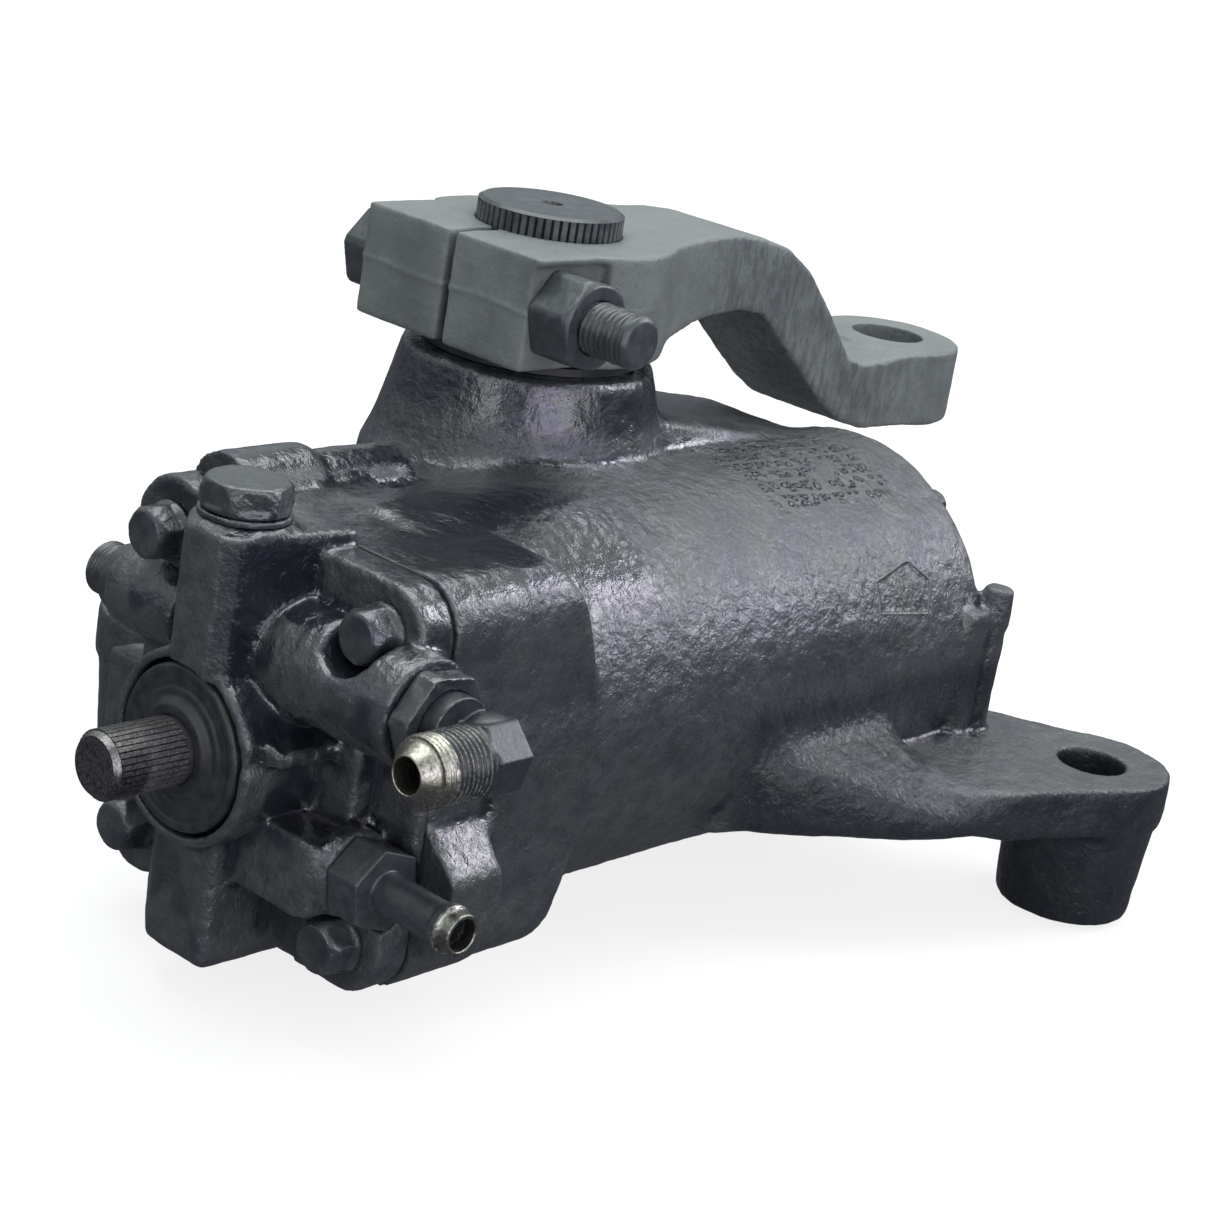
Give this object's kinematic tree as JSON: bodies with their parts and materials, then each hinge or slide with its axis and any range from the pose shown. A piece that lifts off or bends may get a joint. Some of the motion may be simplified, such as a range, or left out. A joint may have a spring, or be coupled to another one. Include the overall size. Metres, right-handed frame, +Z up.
{
  "type": "worm gearbox",
  "caption": "Recirculating ball steering gearbox: a serrated input turns a ball worm, whose rack piston swings a toothed sector shaft with a clamped drop arm.",
  "frame": {"origin": "on the input shaft's axis at the middle of its serrations", "axes": "+X along the worm axis from the input shaft to the rear cover, +Z up along the sector shaft towards the drop arm, +Y from the worm axis to the sector axis"},
  "size_m": [0.4007, 0.2802, 0.2168],
  "materials": {
    "black_enamel": "gloss",
    "painted_steel": "gloss",
    "forged_arm": "satin",
    "dark_fastener": "satin",
    "fitting_steel": "satin",
    "seal_rubber": "matte",
    "copper_washer": "satin",
    "ring_plastic": "matte",
    "gasket": "matte",
    "shaft_steel": "satin",
    "ground_steel": "satin"
  },
  "bodies": {
    "housing": {"main_housing": "black_enamel", "valve_housing": "black_enamel", "housing_joint_seal": "seal_rubber", "valve_housing_bolts": "painted_steel", "hex_plug": "painted_steel", "plug_washer": "copper_washer", "relief_spring": "ground_steel", "relief_ball": "ground_steel", "pressure_elbow": "fitting_steel", "elbow_locknut": "painted_steel", "return_fitting": "fitting_steel", "side_port_fitting": "painted_steel", "input_oil_seal": "seal_rubber", "input_bearing": "ground_steel", "thrust_bearing_front": "ground_steel", "thrust_bearing_rear": "ground_steel", "bearing_retainer": "ground_steel", "upper_bearing": "ground_steel", "lower_bearing": "ground_steel", "sector_oil_seal": "seal_rubber", "sector_dust_seal": "seal_rubber", "side_cover": "black_enamel", "side_cover_gasket": "gasket", "side_cover_bolts": "painted_steel", "adjusting_screw": "ground_steel", "adjuster_locknut": "painted_steel", "rear_cover": "black_enamel", "rear_cover_seal": "seal_rubber", "rear_cover_bolts": "painted_steel"},
    "input": {"input_shaft": "shaft_steel", "dust_seal": "seal_rubber"},
    "worm": {"worm_shaft": "ground_steel", "torsion_bar": "ground_steel", "drive_pin": "ground_steel", "valve_sleeve": "ground_steel", "sleeve_rings": "ring_plastic"},
    "rack": {"rack_piston": "ground_steel", "ball_nut": "ground_steel", "nut_retaining_ring": "ground_steel", "ball_train": "ground_steel", "ball_return_guide": "ground_steel", "guide_screws": "ground_steel", "piston_ring": "ring_plastic", "piston_end_plug": "ground_steel"},
    "sector": {"sector_shaft": "shaft_steel", "pitman_arm": "forged_arm", "pinch_bolt": "dark_fastener", "pinch_nut": "dark_fastener"}
  },
  "joints": [
    {"name": "sector_turn", "type": "hinge", "parent": "housing", "child": "sector", "pos_m": [0.1759, 0.04485, 0], "axis": [0, 0, 1], "range_deg": [-45, 45]},
    {"name": "rack_slide", "type": "slide", "parent": "housing", "child": "rack", "axis": [1, 0, 0], "range_m": [-0.0187, 0.0187]},
    {"name": "worm_turn", "type": "hinge", "parent": "housing", "child": "worm", "pos_m": [0, 0, 0], "axis": [1, 0, 0], "range_deg": [-760, 760]},
    {"name": "valve_twist", "type": "hinge", "parent": "worm", "child": "input", "pos_m": [0, 0, 0], "axis": [1, 0, 0], "range_deg": [-5, 5]}
  ],
  "couplings": [
    {"joint": "rack_slide", "follows": "sector_turn", "m_per_rad": 0.02365},
    {"joint": "worm_turn", "follows": "sector_turn", "ratio": -16.511}
  ]
}
